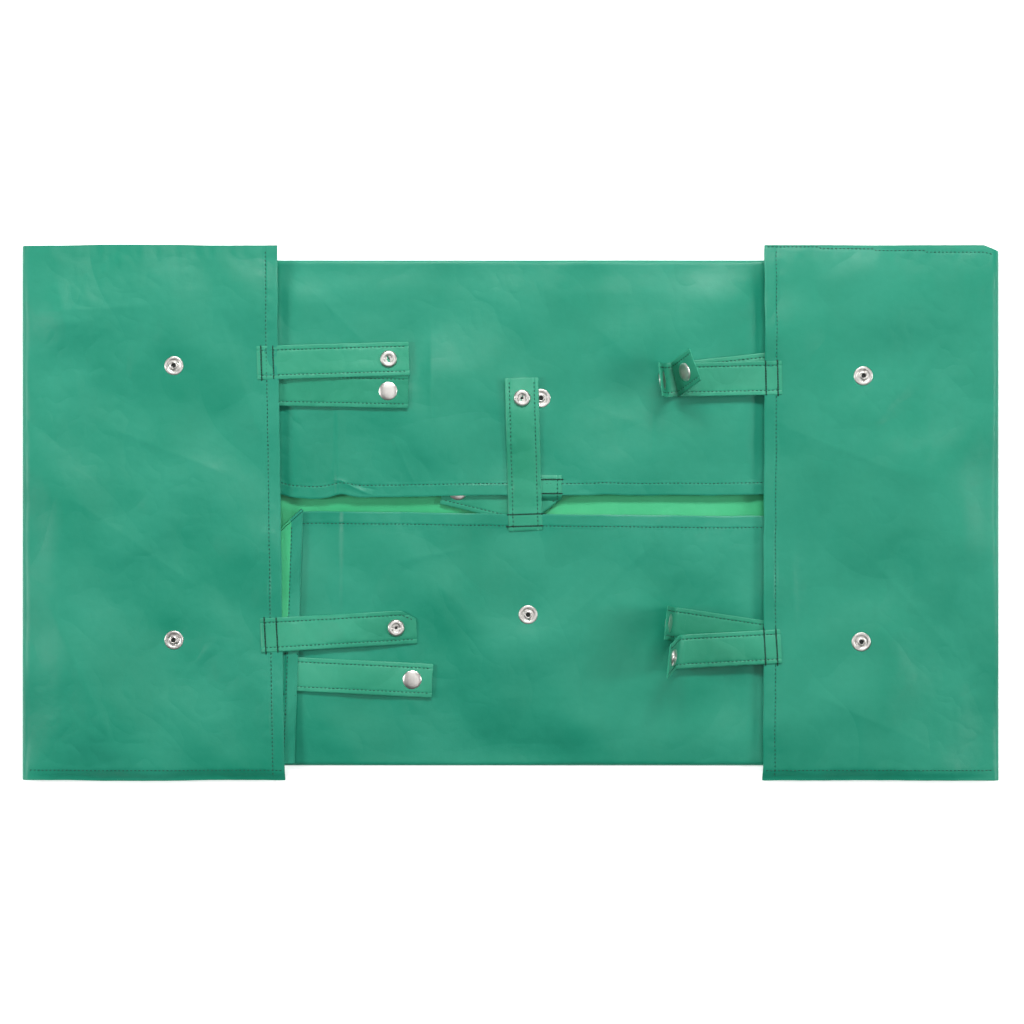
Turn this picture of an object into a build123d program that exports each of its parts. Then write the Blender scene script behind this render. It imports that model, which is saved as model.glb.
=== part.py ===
"""Fabric liner for a garden cart: a shallow open box of coated cloth, folded flat.

The floor panel lies on the ground. The two long walls are folded in over it, the cloth at each corner is
folded back over them as a triangular gusset, and the two end walls are folded in on top. Ten straps hang
from the rim, each with a snap cap and socket that close on a stud riveted to the cloth below the strap.

Frame: +X along the length, +Y to the rear long side, +Z up. The origin is the middle of the underside.
All sizes are in millimetres. Everything is modelled folded flat, which is joint value 0.
"""

from build123d import *
import math
import os

# The folded box
LENGTH = 810.0
WIDTH = 420.0
END_WIDTH = 443.0  # the end walls with their seam allowances
SEAM_ALLOWANCE = 10.0
CLOTH = 0.6
HEM_WIDTH = 12.0
HEM_EXTRA = 0.5  # the hem's turned-in layers, on the inner side

# Height of each wall above its fold, at its two ends
LEFT_HEIGHT = {"rear": 211.8, "front": 218.4}
RIGHT_HEIGHT = {"rear": 194.8, "front": 196.5}
REAR_HEIGHT = {"left": 198.0, "right": 193.5}
FRONT_HEIGHT = {"left": 214.0, "right": 205.2}

# Underside of each layer in the folded stack
LONG_Z = 6.2
GUSSET_Z = 10.2
END_Z = 12.4
END_FACE = END_Z + CLOTH
LONG_FACE = LONG_Z + CLOTH

# Each fold turns about a line midway between the floor and the folded layer
LONG_AXIS_Y = WIDTH / 2 - (LONG_Z + CLOTH) / 2
LONG_AXIS_Z = (LONG_Z + CLOTH) / 2
END_AXIS_X = LENGTH / 2 - (END_Z + CLOTH) / 2
END_AXIS_Z = (END_Z + CLOTH) / 2
CORNER_X = LENGTH / 2 - 4.5  # where the corner creases start
CREASE_GAP = 0.35  # each side of a corner crease

# Straps
STRAP_WIDTH = 28.0
STRAP = 0.8
TAB = 17.0  # sewn down on the hem
STRAP_END = 17.0  # from the snap's centre to the strap's end
END_SLOPE = -2.6  # how far the left end wall's front strap droops
REAR_END_SLOPE = -1.4  # the rear one rests on the gusset strap below it
CENTRE_SLOPE = 1.5  # how far the front centre strap rises over the rear one
CENTRE_LIFT = 1.0

# Snap fasteners
CAP_R = 8.0
CAP_RISE = 1.2
SOCKET_R = 7.3
SOCKET_RISE = 2.4
STUD_R = 8.0
FLANGE_RISE = 0.9
BALL_R = 3.1
BALL_RISE = 2.7
POST_R = 5.5
POST_FLANGE = 0.5
SHANK_R = 1.9
SHANK_BORE = 1.5
EYELET_R = 2.0  # hole in the cloth for the shank
RIVET_R = 1.7
CLOSED_RISE = FLANGE_RISE + 0.1 + SOCKET_RISE + STRAP / 2  # wall face to the middle of a closed strap

PARTS = {}


# ---- snap fasteners, each made at the origin with the cloth's face at height 0 and the outside up


def turned(*profile):
    """A solid of revolution about Z from points (radius, height)."""
    return revolve(Plane.XZ * make_face(Polyline(*profile, close=True)), Axis.Z)


def cap():
    """Smooth domed cap on the strap's inner face, with the rivet that goes through the strap."""
    dome = ThreePointArc((3.0, CAP_RISE), (6.4, CAP_RISE - 0.3), (CAP_R - 0.1, 0.4))
    edge = Polyline((CAP_R - 0.1, 0.4), (CAP_R, 0.2), (CAP_R - 0.35, 0.0), (RIVET_R, 0.0), (RIVET_R, -STRAP))
    close = Polyline((RIVET_R, -STRAP), (0, -STRAP), (0, CAP_RISE), (3.0, CAP_RISE))
    return revolve(Plane.XZ * make_face(dome + edge + close), Axis.Z)


def upside_down(shape):
    return Rot(180, 0, 0) * shape


def socket():
    """Ring that takes the stud: rolled rim, sunk face, two spring slots and a hole for the ball."""
    top = SOCKET_RISE
    ring = turned(
        (BALL_R + 0.3, 0.35),
        (BALL_R + 0.3, top - 0.9),
        (BALL_R + 0.9, top - 0.6),
        (SOCKET_R - 1.8, top - 0.6),
        (SOCKET_R - 1.5, top - 0.2),
        (SOCKET_R - 0.9, top),
        (SOCKET_R - 0.4, top - 0.1),
        (SOCKET_R, top - 0.6),
        (SOCKET_R, 0.6),
        (SOCKET_R - 0.7, 0.0),
        (0.0, 0.0),
        (0.0, 0.5),
        (0.8, 0.5),
        (1.0, 0.35),
    )
    for side in (-1, 1):
        ring -= Pos(side * 4.9, 0, top - 0.6) * Box(0.8, 4.4, 0.6)
    return ring


def stud():
    """Riveted stud: a dished flange with a rolled edge and a hollow ball in the middle."""
    bore = SHANK_R + 0.02
    return turned(
        (bore, 0.0),
        (STUD_R - 0.5, 0.0),
        (STUD_R, 0.35),
        (STUD_R - 0.25, 0.75),
        (STUD_R - 1.0, FLANGE_RISE),
        (STUD_R - 1.9, 0.75),
        (STUD_R - 2.3, 0.5),
        (4.3, 0.45),
        (3.2, 0.65),
        (BALL_R - 0.45, 1.1),
        (BALL_R, 1.75),
        (BALL_R - 0.15, 2.35),
        (BALL_R - 0.6, BALL_RISE),
        (bore, BALL_RISE),
    )


def post():
    """Eyelet on the inner face, with its hollow shank up through the cloth and the stud."""
    low = -CLOTH
    top = BALL_RISE - 0.15
    return turned(
        (SHANK_BORE, low - POST_FLANGE),
        (POST_R - 0.3, low - POST_FLANGE),
        (POST_R, low - POST_FLANGE / 2),
        (POST_R - 0.1, low),
        (SHANK_R, low),
        (SHANK_R, top),
        (SHANK_BORE, top),
    )


# ---- flat cloth


def slab(points, low, thick):
    """A flat plate with this outline, from height low."""
    return extrude(Plane.XY.offset(low) * make_face(Polyline(*points, close=True)), thick)


def unit(a, b):
    size = math.dist(a, b)
    return (b[0] - a[0]) / size, (b[1] - a[1]) / size


def beside(a, b, by):
    """Points a and b moved sideways; by is positive to the left of the line from a to b."""
    ux, uy = unit(a, b)
    return (a[0] - uy * by, a[1] + ux * by), (b[0] - uy * by, b[1] + ux * by)


def band(a, b, by, low, thick):
    """A strip along the line from a to b, by wide, on its left if by is positive."""
    c, d = beside(a, b, by)
    return slab([a, b, d, c], low, thick)


def between(a, b, share):
    return a[0] + (b[0] - a[0]) * share, a[1] + (b[1] - a[1]) * share


def mirrored(p, a, b):
    """Point p mirrored in the line from a to b."""
    ux, uy = unit(a, b)
    along = (p[0] - a[0]) * ux + (p[1] - a[1]) * uy
    return 2 * (a[0] + along * ux) - p[0], 2 * (a[1] + along * uy) - p[1]


def eyelet_hole(at, low):
    return Pos(at[0], at[1], low + CLOTH / 2) * Cylinder(EYELET_R, CLOTH + 2 * HEM_EXTRA + 1)


def rear_hem_y(x):
    share = (x + LENGTH / 2) / LENGTH
    return WIDTH / 2 - REAR_HEIGHT["left"] * (1 - share) - REAR_HEIGHT["right"] * share


def front_hem_y(x):
    share = (x + LENGTH / 2) / LENGTH
    return -WIDTH / 2 + FRONT_HEIGHT["left"] * (1 - share) + FRONT_HEIGHT["right"] * share


# Corner: side along X, side along Y, X where its crease meets the rim, height of the gusset at the seam
CORNERS = {
    "rear_left": (-1, 1, -194.0, 207.0),
    "front_left": (-1, -1, -171.7, 222.0),
    "rear_right": (1, 1, 213.5, 190.3),
    "front_right": (1, -1, 213.5, 192.0),
}


def gusset_points(corner):
    """The corner, the seam's top and the crease's rim end of a gusset, as it lies folded back."""
    sx, sy, rim_x, height = CORNERS[corner]
    start = (sx * CORNER_X, sy * LONG_AXIS_Y)
    rim = (rim_x, rear_hem_y(rim_x) if sy > 0 else front_hem_y(rim_x))
    top = mirrored((start[0], start[1] - sy * height), start, rim)
    return start, top, rim


def hem_of_gusset(corner, share):
    """The point a share of the way from the rim to the seam's top."""
    _, top, rim = gusset_points(corner)
    return between(rim, top, share)


# ---- straps: where each is sewn on, which way it points and where its snap and stud are


class Strap:
    """One strap, its snap and its stud, laid out from the hinge line just beyond the hem."""

    def __init__(self, name, wall, socket_at, stud_at, face, up, slope=0.0, lift=0.0, curl=None):
        self.name, self.wall = name, wall
        self.face, self.up, self.slope = face, up, slope
        self.run = math.dist(socket_at, stud_at) / 2
        self.way = math.degrees(math.atan2(socket_at[1] - stud_at[1], socket_at[0] - stud_at[0]))
        self.hinge_at = between(socket_at, stud_at, 0.5)
        self.stud_at = stud_at
        self.middle = STRAP / 2 + lift  # above the wall's outer face, at the hinge
        self.axis_rise = (self.middle + CLOSED_RISE) / 2
        self.curl = curl  # distance of the turned-up end from the hinge, its angle and its skew

    def place(self, shape, moving=True):
        """From the strap's own frame, along +X from the hinge and outer face up, to the liner."""
        if moving:
            lever = Pos(0, 0, self.axis_rise - self.middle)
            shape = lever * Rot(0, -self.slope, 0) * lever.inverse() * shape
            shape = Pos(0, 0, self.middle) * shape
        if not self.up:
            shape = upside_down(shape)
        return Pos(self.hinge_at[0], self.hinge_at[1], self.face) * Rot(0, 0, self.way) * shape

    def curl_place(self, shape):
        """Turns the strap's end up about the line where its curl starts."""
        at, angle, skew = self.curl
        side = 1 if self.up else -1
        pivot = Pos(at, 0, side * 1.2) * Rot(0, 0, skew * side)
        return pivot * Rot(0, -angle * side, 0) * pivot.inverse() * shape

    def build(self):
        end = self.run + STRAP_END
        hole = Pos(self.run, 0, 0) * Cylinder(RIVET_R + 0.02, 4)
        cap_at = Pos(self.run, 0, -STRAP / 2) * upside_down(cap())
        socket_at = Pos(self.run, 0, STRAP / 2) * socket()
        if self.curl:
            skew = self.curl[2] * (1 if self.up else -1)
            straight = strip(1.0, end)
            trim = Pos(self.curl[0] - 1.6, 0, 0) * Rot(0, 0, skew) * Pos(50, 0, 0) * Box(100, 100, 4)
            strap = straight - trim
            trim = Pos(self.curl[0] + 1.6, 0, 0) * Rot(0, 0, skew) * Pos(-150, 0, 0) * Box(300, 200, 4)
            tip = straight - trim - hole
            tip, cap_at, socket_at = [self.curl_place(s) for s in (tip, cap_at, socket_at)]
            keep(f"{self.name}_end", self.place(tip))
        else:
            strap = strip(1.0, end) - hole
        keep(self.name, self.place(strap))
        keep(f"{self.name}_cap", self.place(cap_at))
        keep(f"{self.name}_socket", self.place(socket_at))
        return self


def strip(start, end):
    """A length of strap along +X, with its far corners eased."""
    plate = Pos((start + end) / 2, 0, 0) * Box(end - start, STRAP_WIDTH, STRAP)
    return fillet(plate.edges().filter_by(Axis.Z).sort_by(Axis.X)[-2:], 1.5)


def keep(name, *solids):
    """Stores one node, as one solid or as a group of separate ones."""
    PARTS[name] = solids[0] if len(solids) == 1 else Compound(children=[s for s in solids])


def tab(strap, inside):
    """The strap's root, sewn flat on the hem up to its hinge."""
    plate = Pos(-(inside + 1) / 2, 0, STRAP / 2) * Box(inside - 1, STRAP_WIDTH, STRAP)
    return strap.place(plate, moving=False)


def riveted(strap):
    """The strap's stud and the post that holds it, on the wall below."""
    x, y = strap.stud_at
    parts = [stud(), post()]
    if not strap.up:
        parts = [upside_down(p) for p in parts]
    return [Pos(x, y, strap.face) * p for p in parts]


END_STRAPS = [
    Strap("left_rear_strap", "left", (-100.9, 127.4), (-278.4, 121.8), END_FACE, True, REAR_END_SLOPE),
    Strap("left_front_strap", "left", (-94.7, -95.2), (-278.4, -105.1), END_FACE, True, END_SLOPE),
    Strap("right_rear_strap", "right", (117.3, 109.6), (291.7, 113.4), END_FACE, True, curl=(68.5, 120, 12)),
    Strap("right_front_strap", "right", (117.4, -116.0), (290.0, -106.6), END_FACE, True, curl=(64.5, 76, -11)),
]
GUSSET_STRAPS = [
    Strap("gusset_rear_left_strap", "rear_left", (-101.4, 100.9), (-276.5, 104.6), GUSSET_Z, False),
    Strap("gusset_front_left_strap", "front_left", (-81.5, -138.2), (-260.0, -129.4), GUSSET_Z, False),
    Strap("gusset_rear_right_strap", "rear_right", (119.0, 108.7), (306.0, 129.1), GUSSET_Z, False, curl=(84.0, 78, 0)),
    Strap("gusset_front_right_strap", "front_right", (119.5, -89.6), (305.5, -117.4), GUSSET_Z, False, curl=(77.8, 76, 3)),
]
FRONT_CENTRE = Strap(
    "front_centre_strap", "front", (9.5, 95.2), (14.5, -84.4), LONG_FACE, True, CENTRE_SLOPE, CENTRE_LIFT
)
REAR_STUD = (25.2, 95.2)
REAR_ROOT_X = 28.5

# The rear centre strap hangs into the gap between the hems and its end is tucked back under the rear hem
TUCK_PIVOT = (14.5, 4.5)
TUCK_WAY = 166.5
TUCK_MIDDLE = 3.6
TUCK_RUN = 60.0


# ---- the cloth panels


def long_wall(side):
    """Rear or front long wall between its fold and its hem, cut off along the two corner creases."""
    sy = 1 if side == "rear" else -1
    left_start, _, left_rim = gusset_points(f"{side}_left")
    right_start, _, right_rim = gusset_points(f"{side}_right")
    left_a, left_b = beside(left_start, left_rim, sy * CREASE_GAP)
    right_a, right_b = beside(right_start, right_rim, -sy * CREASE_GAP)
    wall = slab([left_a, left_b, right_b, right_a], LONG_Z, CLOTH) & Box(LENGTH, 2 * LONG_AXIS_Y, 100)
    share = HEM_WIDTH / (right_rim[0] - left_rim[0])
    wall += band(between(left_b, right_b, 1.2 * share), between(left_b, right_b, 1 - 1.2 * share),
                 sy * HEM_WIDTH, LONG_Z - HEM_EXTRA, HEM_EXTRA)
    at = REAR_STUD if side == "rear" else FRONT_CENTRE.stud_at
    return wall - eyelet_hole(at, LONG_Z)


def end_wall(side):
    """Left or right end wall, with its hem and the seam allowances along both its edges."""
    sx, height = (-1, LEFT_HEIGHT) if side == "left" else (1, RIGHT_HEIGHT)
    y = END_WIDTH / 2
    rear = (sx * (LENGTH / 2 - height["rear"]), y)
    front = (sx * (LENGTH / 2 - height["front"]), -y)
    wall = slab([(sx * END_AXIS_X, y), rear, front, (sx * END_AXIS_X, -y)], END_Z, CLOTH)
    wall += band(rear, front, sx * HEM_WIDTH, END_Z - HEM_EXTRA, HEM_EXTRA)
    for corner, edge in ((rear, y), (front, -y)):
        low, high = sorted([sx * (END_AXIS_X - 12), corner[0] + sx * (HEM_WIDTH + 1)])
        inner = edge - math.copysign(SEAM_ALLOWANCE, edge)
        wall += slab([(low, edge), (high, edge), (high, inner), (low, inner)], END_Z - HEM_EXTRA, HEM_EXTRA)
    for strap in END_STRAPS:
        if strap.wall == side:
            wall -= eyelet_hole(strap.stud_at, END_Z)
    return wall


def gusset(corner):
    """Triangle of cloth folded back over the long wall, with its piece of the hem on the inner side."""
    sx, sy, _, _ = CORNERS[corner]
    start, top, rim = gusset_points(corner)
    a, b = beside(start, rim, -sx * sy * CREASE_GAP)
    sheet = slab([a, top, b], GUSSET_Z, CLOTH)
    sheet += band(between(rim, top, 0.1), between(rim, top, 0.93), sx * sy * HEM_WIDTH, GUSSET_Z + CLOTH, HEM_EXTRA)
    sheet &= Box(2 * LENGTH, 2 * LONG_AXIS_Y, 100)
    for strap in GUSSET_STRAPS:
        if strap.wall == corner:
            sheet -= eyelet_hole(strap.stud_at, GUSSET_Z)
    return sheet


def folds():
    """The cloth that turns up from the floor and over, along each of the four sides."""

    def half_tube(radius, length, turn, x, y):
        outer = Cylinder(radius, length)
        inner = Cylinder(radius - CLOTH, length + 2)
        tube = (outer - inner) & Pos(radius, 0, 0) * Box(2 * radius, 4 * radius, length + 2)
        return Pos(x, y, radius) * Rot(0, 0, turn) * Rot(90, 0, 0) * tube

    result = []
    for side in (-1, 1):
        turn = 0 if side > 0 else 180
        result.append(half_tube(END_AXIS_Z, 2 * LONG_AXIS_Y - 2, turn, side * END_AXIS_X, 0))
        result.append(half_tube(LONG_AXIS_Z, 2 * CORNER_X - 16, turn + 90, 0, side * LONG_AXIS_Y))
    return result


def rear_tab():
    """The rear centre strap's root: flat on the rear wall, then over the hem and down into the gap."""
    hem = rear_hem_y(REAR_ROOT_X)
    middle = LONG_FACE + STRAP / 2
    path = Polyline(
        (hem + TAB, middle),
        (hem - 1.0, middle),
        (hem - 5.2, TUCK_MIDDLE + 1.2),
        (hem - 7.5, TUCK_MIDDLE),
        (0.5, TUCK_MIDDLE),
    )
    ribbon = make_face(offset(path, STRAP / 2, side=Side.BOTH))
    return Pos(REAR_ROOT_X - STRAP_WIDTH / 2, 0, 0) * extrude(Plane.YZ * ribbon, STRAP_WIDTH)


def tucked_strap():
    """The rear centre strap's end, outer face down, pointing left under the rear hem."""
    place = Pos(TUCK_PIVOT[0], TUCK_PIVOT[1], TUCK_MIDDLE) * Rot(0, 0, TUCK_WAY) * Rot(180, 0, 0)
    strap = strip(4.5, TUCK_RUN + STRAP_END) - Pos(TUCK_RUN, 0, 0) * Cylinder(RIVET_R + 0.02, 4)
    strap = (place * strap) & Pos(0, front_hem_y(0) + 100.6, 0) * Box(LENGTH, 200, 100)
    keep("rear_centre_strap", strap)
    keep("rear_centre_strap_cap", place * Pos(TUCK_RUN, 0, -STRAP / 2) * upside_down(cap()))
    keep("rear_centre_strap_socket", place * Pos(TUCK_RUN, 0, STRAP / 2) * socket())


keep("bottom_panel", Pos(0, 0, CLOTH / 2) * Box(2 * END_AXIS_X, 2 * LONG_AXIS_Y, CLOTH))
keep("floor_folds", *folds())
for side in ("rear", "front"):
    keep(f"{side}_wall", long_wall(side))
for side in ("left", "right"):
    keep(f"{side}_end_wall", end_wall(side))
    mine = [s for s in END_STRAPS if s.wall == side]
    keep(f"{side}_end_strap_tabs", *[tab(s, TAB + 3) for s in mine])
    keep(f"{side}_end_studs", *[p for s in mine for p in riveted(s)])
for strap in GUSSET_STRAPS:
    corner = strap.wall
    keep(f"gusset_{corner}", gusset(corner))
    keep(f"gusset_{corner}_strap_tab", tab(strap, TAB + 3))
    keep(f"gusset_{corner}_stud", *riveted(strap))
for strap in END_STRAPS + GUSSET_STRAPS + [FRONT_CENTRE]:
    strap.build()
keep("front_strap_tab", tab(FRONT_CENTRE, TAB + 6))
keep("front_stud", *riveted(FRONT_CENTRE))
keep("rear_strap_tab", rear_tab())
keep("rear_stud", *[Pos(REAR_STUD[0], REAR_STUD[1], LONG_FACE) * p for p in (stud(), post())])
tucked_strap()

os.makedirs("parts", exist_ok=True)
for name, shape in PARTS.items():
    export_step(shape, f"parts/{name}.step")
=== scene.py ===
"""Looks of a folded garden cart liner: coated green cloth, sewn straps and snap fasteners.

Everything is laid out in millimetres in the row frame and written to meshes in metres. Each cloth panel
is one piece: a fine grid for its mid-surface, a face on each side, and its stitches.
"""

import math

import bpy
import numpy as np
from mathutils import Matrix, Vector


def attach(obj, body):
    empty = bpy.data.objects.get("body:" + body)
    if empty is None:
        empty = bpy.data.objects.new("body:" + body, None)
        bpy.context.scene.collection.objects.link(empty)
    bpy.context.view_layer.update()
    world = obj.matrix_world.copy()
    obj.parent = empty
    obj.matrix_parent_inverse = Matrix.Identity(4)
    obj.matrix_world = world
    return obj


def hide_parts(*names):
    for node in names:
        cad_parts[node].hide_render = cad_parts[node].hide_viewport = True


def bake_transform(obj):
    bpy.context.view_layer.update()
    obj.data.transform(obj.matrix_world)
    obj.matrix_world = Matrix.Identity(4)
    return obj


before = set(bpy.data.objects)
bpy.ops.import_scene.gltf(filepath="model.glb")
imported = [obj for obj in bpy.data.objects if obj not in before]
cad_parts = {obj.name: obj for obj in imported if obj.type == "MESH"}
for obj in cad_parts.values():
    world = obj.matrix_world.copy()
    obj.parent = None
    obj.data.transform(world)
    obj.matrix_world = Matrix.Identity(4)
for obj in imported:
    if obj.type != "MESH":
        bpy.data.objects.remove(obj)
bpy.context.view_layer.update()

MM = 0.001

# ---- sizes, as in the CAD model (mm)
LENGTH, WIDTH, END_WIDTH = 810.0, 420.0, 443.0
CLOTH = 0.6
HEM = 11.0
LONG_Z, GUSSET_Z, END_Z = 6.2, 10.2, 12.4
LONG_R = LONG_Z / 2
LONG_AXIS_Y, LONG_AXIS_Z = WIDTH / 2 - LONG_R - CLOTH / 2, LONG_R + CLOTH / 2
END_R = END_Z / 2
END_AXIS_X, END_AXIS_Z = LENGTH / 2 - END_R - CLOTH / 2, END_R + CLOTH / 2
CREASE_R = (GUSSET_Z - LONG_Z) / 2
CORNER_X = LENGTH / 2 - 4.5
HEIGHTS = {
    "left": (211.8, 218.4), "right": (194.8, 196.5), "rear": (198.0, 193.5), "front": (214.0, 205.2),
}
CORNERS = {
    "rear_left": (-1, 1, -194.0, 207.0),
    "front_left": (-1, -1, -171.7, 222.0),
    "rear_right": (1, 1, 213.5, 190.3),
    "front_right": (1, -1, 213.5, 192.0),
}
STRAP_WIDTH, STRAP, TAB, STRAP_END = 28.0, 0.8, 17.0, 17.0
# rows of stitches: in from a panel's rim, and either side of a strap's middle
HEM_STITCH, STRAP_STITCH = HEM - 1.0, 10.3
# how far the bar tacks are from the start of a strap's root
BAR_TACKS = (3.4, 13.4)
# how finely a panel is divided across its hem, and how wide that fine zone is
HEM_STEP, HEM_ZONE = 0.62, 16.0
CLOSED_RISE = 0.9 + 0.1 + 2.4 + STRAP / 2
END_FACE, LONG_FACE = END_Z + CLOTH, LONG_Z + CLOTH


# ---- numbers


def smooth(x, low, high):
    t = np.clip((np.asarray(x, float) - low) / (high - low), 0, 1)
    return t * t * (3 - 2 * t)


def bell(x, width):
    return np.exp(-((x / width) ** 2))


_lattices = {}


def noise(x, y, sx, sy, seed):
    """Smooth random heights, -1 to 1, with features sx by sy."""
    if seed not in _lattices:
        _lattices[seed] = np.random.default_rng(seed).uniform(-1, 1, (97, 97))
    g = _lattices[seed]
    fx, fy = np.asarray(x, float) / sx + 31.3, np.asarray(y, float) / sy + 17.7
    ix, iy = np.floor(fx).astype(int), np.floor(fy).astype(int)
    tx, ty = fx - ix, fy - iy
    tx, ty = (t * t * t * (t * (t * 6 - 15) + 10) for t in (tx, ty))
    at = lambda i, j: g[(ix + i) % 97, (iy + j) % 97]
    low = at(0, 0) * (1 - tx) + at(1, 0) * tx
    high = at(0, 1) * (1 - tx) + at(1, 1) * tx
    return low * (1 - ty) + high * ty


def to_segment(x, y, a, b):
    """Signed distance from the line a-b (positive on its left), and the share of the way along it."""
    ax, ay = a
    dx, dy = b[0] - ax, b[1] - ay
    size = math.hypot(dx, dy)
    dx, dy = dx / size, dy / size
    return -(x - ax) * dy + (y - ay) * dx, ((x - ax) * dx + (y - ay) * dy) / size


def ridges(x, y, sx, sy, seed, soft=0.12):
    """Broad facets that meet in soft ridges and valleys, as in cloth that has been crumpled and laid flat."""
    a, b = noise(x, y, sx, sy, seed), noise(x + y * 0.4, y - x * 0.4, sx * 0.9, sy * 1.1, seed + 40)
    return np.sqrt(b * b + soft * soft) - np.sqrt(a * a + soft * soft)


def crease(x, y, a, b, height, width=2.2, fade=0.18):
    """A pressed crease or soft ridge from a to b that fades out at its ends."""
    off, along = to_segment(x, y, a, b)
    ends = smooth(along, -fade, fade) * (1 - smooth(along, 1 - fade, 1 + fade))
    return height * ends * np.exp(-np.abs(off) / width)


def spaced(low, high, step):
    return np.linspace(low, high, max(2, int(math.ceil(abs(high - low) / step)) + 1))


def nearest(values, value):
    """Index of the sample nearest to value."""
    return int(np.argmin(np.abs(values - value)))


# ---- meshes


def added(name, data):
    obj = bpy.data.objects.new(name, data)
    bpy.context.scene.collection.objects.link(obj)
    return obj


def tube_faces(rings, sides):
    """Quads between rings of points, each ring having the same number of sides."""
    return [
        (r * sides + s, (r + 1) * sides + s, (r + 1) * sides + t, r * sides + t)
        for r in range(rings - 1)
        for s, t in zip(range(sides), [*range(1, sides), 0])
    ]


def new_object(name, verts, faces, slots, materials, sharp):
    """A smooth object from points in millimetres, with edges past sharp degrees kept crisp."""
    mesh = bpy.data.meshes.new(name)
    mesh.from_pydata([tuple(v) for v in verts * MM], [], faces)
    for m in materials:
        mesh.materials.append(m)
    mesh.polygons.foreach_set("material_index", np.array(slots, np.int32))
    mesh.polygons.foreach_set("use_smooth", np.ones(len(mesh.polygons), bool))
    mesh.set_sharp_from_angle(angle=math.radians(sharp))
    mesh.update()
    return added(name, mesh)


class Cloth:
    """One sewn piece: closed sheets with an outer and an inner face, and stitches on them."""

    def __init__(self, name):
        self.name = name
        self.verts, self.faces, self.slots, self.uvs = [], [], [], []
        self.count = 0

    def _add(self, verts, faces, slot, uvs):
        self.verts.append(np.asarray(verts, float).reshape(-1, 3))
        self.faces += [tuple(i + self.count for i in f) for f in faces]
        self.slots += [slot] * len(faces) if isinstance(slot, int) else [int(i) for i in slot]
        self.uvs.append(np.asarray(uvs, float).reshape(-1, 2))
        self.count += len(self.verts[-1])

    def sheet(self, mid, flat, outer, inner, outer_slot=0, inner_slot=1, outer_up=True):
        """mid is (n, m, 3); outer and inner are how far each face stands off it."""
        n, m = mid.shape[:2]
        du, dv = np.gradient(mid, axis=0), np.gradient(mid, axis=1)
        normal = np.cross(du, dv)
        normal /= np.maximum(np.linalg.norm(normal, axis=2, keepdims=True), 1e-9)
        if not outer_up:
            normal = -normal
        outer = np.broadcast_to(outer, (n, m))[..., None]
        inner = np.broadcast_to(inner, (n, m))[..., None]
        top, low = mid + normal * outer, mid - normal * inner
        index = np.arange(n * m).reshape(n, m)
        a, b, c, d = index[:-1, :-1], index[1:, :-1], index[1:, 1:], index[:-1, 1:]
        quads = np.stack([a, b, c, d], -1).reshape(-1, 4)
        if not outer_up:
            quads = quads[:, ::-1]
        faces = [tuple(q) for q in quads] + [tuple(q[::-1] + n * m) for q in quads]
        slots = [outer_slot] * len(quads) + list(np.broadcast_to(inner_slot, (n - 1, m - 1)).ravel())
        rim = list(index[:, 0]) + list(index[-1, 1:]) + list(index[-2::-1, -1]) + list(index[0, -2:0:-1])
        for i, j in zip(rim, rim[1:] + rim[:1]):
            quad = (i, i + n * m, j + n * m, j)
            faces.append(quad if outer_up else quad[::-1])
            slots.append(outer_slot)
        uv = flat.reshape(-1, 2)
        verts = np.concatenate([top.reshape(-1, 3), low.reshape(-1, 3)])
        self._add(verts, faces, slots, np.concatenate([uv, uv]))
        return top, low, normal

    def stitches(self, points, normals, slot=2, pitch=3.3, size=2.3, thread=0.36, sink=0.02):
        """Short threads laid end to end along points, dipping into the cloth at both ends."""
        points, normals = np.asarray(points, float), np.asarray(normals, float)
        steps = np.linalg.norm(np.diff(points, axis=0), axis=1)
        run = np.concatenate([[0], np.cumsum(steps)])
        number = max(1, int(run[-1] / pitch))
        rings, sides = 6, 6
        for k in range(number):
            centre = (k + 0.5) * run[-1] / number
            at = centre + np.linspace(-size / 2, size / 2, rings)
            p = np.stack([np.interp(at, run, points[:, i]) for i in range(3)], -1)
            w = np.stack([np.interp(at, run, normals[:, i]) for i in range(3)], -1)
            w /= np.linalg.norm(w, axis=1, keepdims=True)
            along = p[-1] - p[0]
            along /= max(np.linalg.norm(along), 1e-9)
            side = np.cross(w, along)
            side /= np.linalg.norm(side, axis=1, keepdims=True)
            bulge = np.array([0.35, 0.85, 1, 1, 0.85, 0.35])
            lift = np.array([-0.75, 0.3, 0.85, 0.85, 0.3, -0.75]) * thread - sink
            p = p + w * lift[:, None]
            turn = np.arange(sides) * 2 * math.pi / sides
            cos, sin = (f(turn)[None, :, None] for f in (np.cos, np.sin))
            around = side[:, None, :] * cos + w[:, None, :] * sin
            ring = p[:, None, :] + around * (thread * bulge)[:, None, None]
            faces = tube_faces(rings, sides)
            faces.append(tuple(range(sides)))
            faces.append(tuple(range((rings - 1) * sides + sides - 1, (rings - 1) * sides - 1, -1)))
            uv = np.zeros((rings * sides, 2))
            uv[:, 0] = k * 7.0
            self._add(ring.reshape(-1, 3), faces, slot, uv)

    def both_sides(self, rows, columns, top, low, normal):
        """The same line of stitches on the outer and the inner face."""
        for face, way in ((top, 1), (low, -1)):
            self.stitches(face[rows, columns], way * normal[rows, columns])

    def build(self, materials):
        verts = np.concatenate(self.verts)
        obj = new_object(self.name, verts, self.faces, self.slots, materials, sharp=50)
        uvs = np.concatenate(self.uvs) * MM * 10
        layer = obj.data.uv_layers.new(name="cloth")
        loops = np.empty(len(obj.data.loops), int)
        obj.data.loops.foreach_get("vertex_index", loops)
        layer.data.foreach_set("uv", uvs[loops].astype(np.float32).ravel())
        return obj


# ---- materials


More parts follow.
